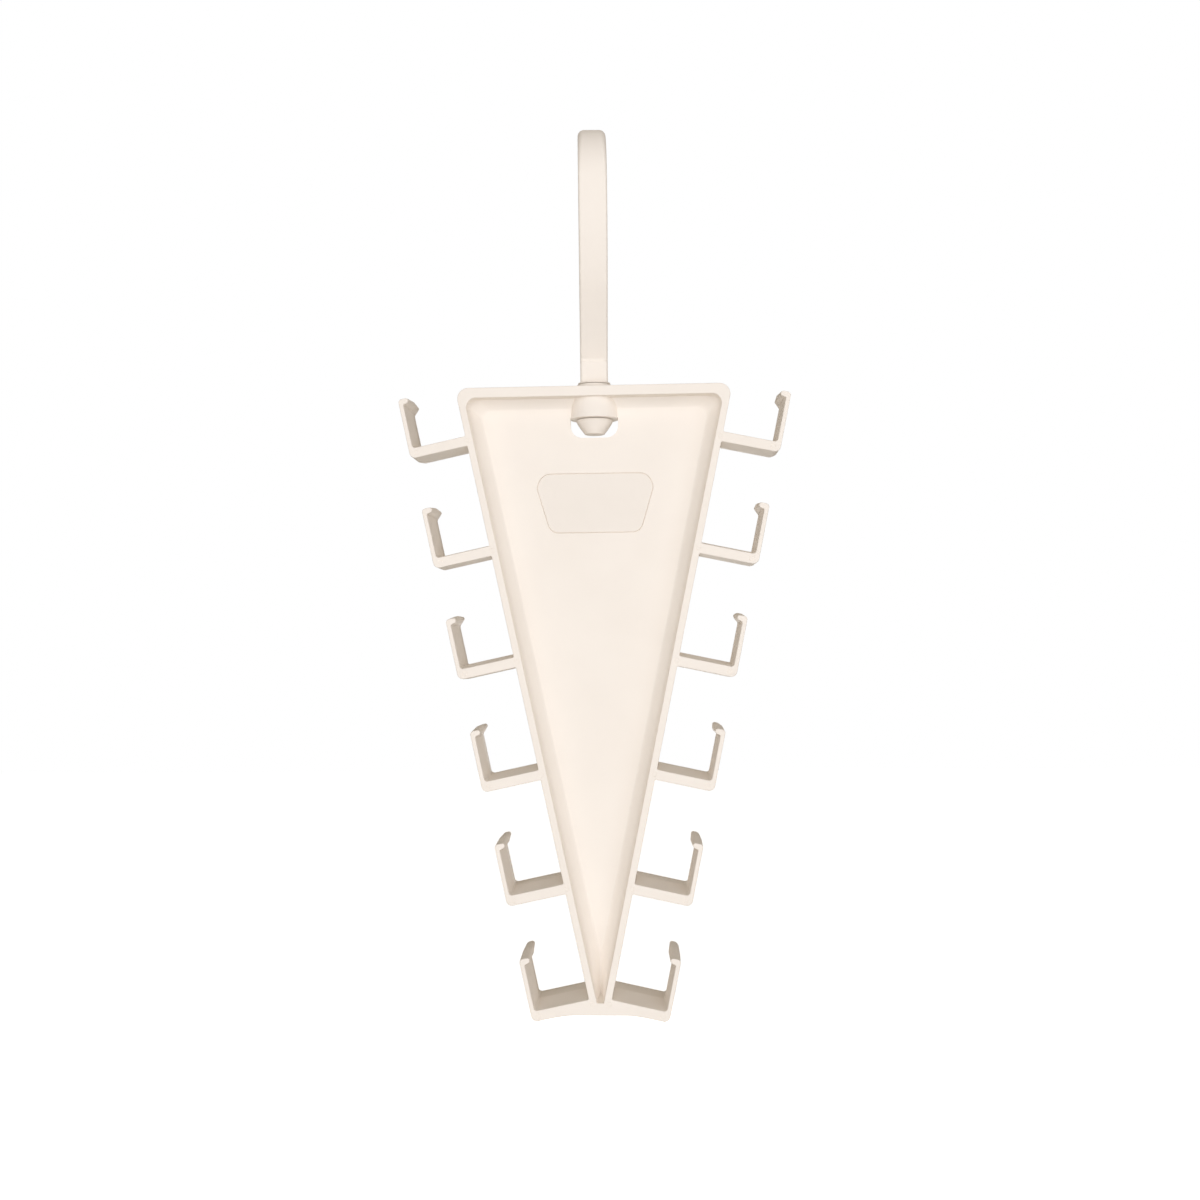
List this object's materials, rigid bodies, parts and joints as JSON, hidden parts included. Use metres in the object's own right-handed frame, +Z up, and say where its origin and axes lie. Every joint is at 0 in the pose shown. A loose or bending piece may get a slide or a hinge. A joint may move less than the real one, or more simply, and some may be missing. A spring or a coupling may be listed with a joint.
{
  "type": "multi-hook hanger",
  "caption": "Swivelling closet hanger with a dished tapering plastic body and barbed ledge hooks down both sides for straps, ties, belts and scarves.",
  "frame": {"origin": "where a hanging rod bears under the crown of the hook, on the swivel axis", "axes": "+Z up along the swivel axis, the dished front faces -Y, +X to the right as seen from the front"},
  "size_m": [0.1456, 0.0547, 0.3297],
  "materials": {
    "body_plastic": "warm ivory moulded plastic, fine satin texture",
    "hook_plastic": "warm ivory moulded plastic, smooth satin"
  },
  "bodies": {
    "swivel_hook": {"hook_bow": "hook_plastic", "hook_neck": "hook_plastic", "swivel_shaft": "hook_plastic", "snap_head": "hook_plastic"},
    "hanger_body": {"top_rail": "body_plastic", "tray_panel": "body_plastic", "foot_bridge": "body_plastic", "swivel_boss": "body_plastic", "left_rail": "body_plastic", "right_rail": "body_plastic", "left_hook_1": "body_plastic", "left_hook_2": "body_plastic", "left_hook_3": "body_plastic", "left_hook_4": "body_plastic", "left_hook_5": "body_plastic", "left_hook_6": "body_plastic", "right_hook_1": "body_plastic", "right_hook_2": "body_plastic", "right_hook_3": "body_plastic", "right_hook_4": "body_plastic", "right_hook_5": "body_plastic", "right_hook_6": "body_plastic"}
  },
  "joints": [
    {"name": "hook_swivel", "type": "hinge", "parent": "swivel_hook", "child": "hanger_body", "pos_m": [0, 0, -0.1], "axis": [0, 0, 1], "continuous": true}
  ]
}
